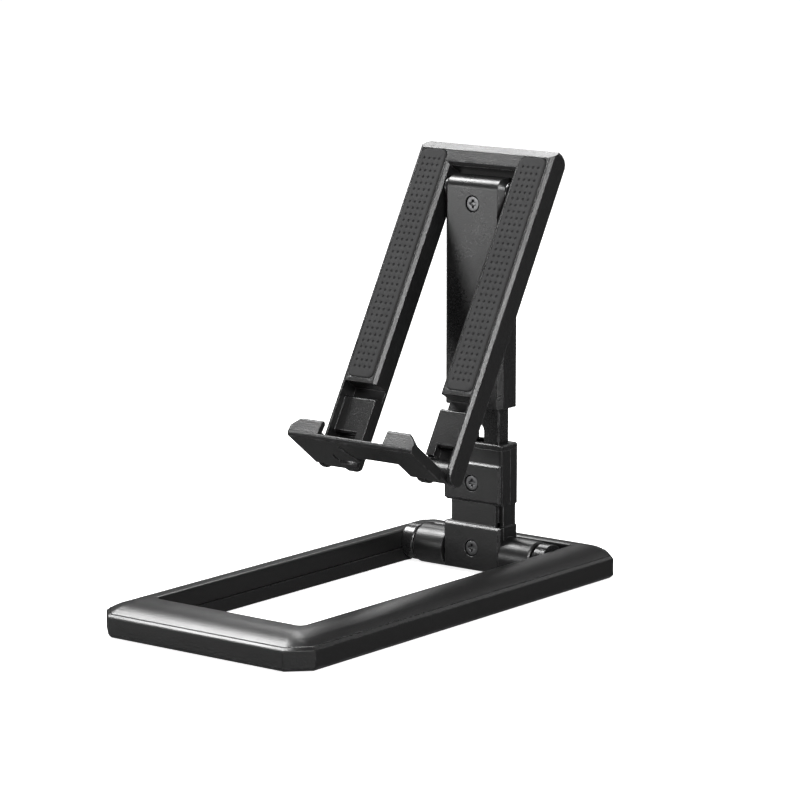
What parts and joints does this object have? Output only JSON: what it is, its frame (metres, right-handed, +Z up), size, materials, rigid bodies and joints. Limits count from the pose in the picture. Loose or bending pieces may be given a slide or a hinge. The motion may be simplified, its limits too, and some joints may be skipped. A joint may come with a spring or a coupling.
{
  "type": "phone stand",
  "caption": "Folding desk phone stand: open frame base, telescoping column on a rear hinge, tilting U-shaped back plate with dotted grip pads and a fold-out lip with hooked ends.",
  "frame": {"origin": "middle of the base's underside, on the table", "axes": "+Z up, +Y towards the back where the column stands, +X to the right of someone facing the pads"},
  "size_m": [0.078, 0.158, 0.1317],
  "materials": {
    "shell_black": "satin moulded",
    "shell_black_satin": "satin moulded, a little smoother",
    "bush_black": "smooth",
    "acetal": "smooth",
    "steel": "ground",
    "screw_dark": "dark plated",
    "pad_silicone": "matte, dotted",
    "foot_rubber": "matte"
  },
  "bodies": {
    "base": {"base_bottom_shell": "shell_black", "base_top_shell": "shell_black_satin", "case_screws": "steel", "hinge_bushes": "bush_black", "hinge_axles": "steel", "foot_strip_front": "foot_rubber", "foot_strip_rear": "foot_rubber", "foot_strips_side": "foot_rubber"},
    "column": {"column_rear_shell": "shell_black", "axle_liners": "acetal", "foot_cover": "shell_black", "foot_screw": "screw_dark", "sleeve_front_shell": "shell_black", "sleeve_collar": "shell_black", "sleeve_screw": "screw_dark", "guide_bush": "acetal", "friction_strips": "acetal"},
    "head": {"slider_bar": "shell_black", "neck_shell": "shell_black_satin", "neck_rear_cover": "shell_black", "neck_screw": "screw_dark", "tilt_axle": "steel", "tilt_washers": "acetal"},
    "plate": {"back_plate": "shell_black", "plate_rear_cover": "shell_black", "plate_screws": "screw_dark", "pad_right": "pad_silicone", "pad_left": "pad_silicone", "lip_pins": "steel"},
    "lip": {"lip_tray": "shell_black"}
  },
  "joints": [
    {"name": "column_fold", "type": "hinge", "parent": "base", "child": "column", "pos_m": [0, 0.0568, 0.0063], "axis": [-1, 0, 0], "range_deg": [-84, 15]},
    {"name": "height_slide", "type": "slide", "parent": "column", "child": "head", "axis": [0, 0, 1], "range_m": [-0.01, 0]},
    {"name": "plate_tilt", "type": "hinge", "parent": "head", "child": "plate", "pos_m": [0, 0.05645, 0.119], "axis": [-1, 0, 0], "range_deg": [-28, 50]},
    {"name": "lip_fold", "type": "hinge", "parent": "plate", "child": "lip", "pos_m": [0, 0.01145, 0.04106], "axis": [1, 0, 0], "range_deg": [-82.5, 0]}
  ]
}
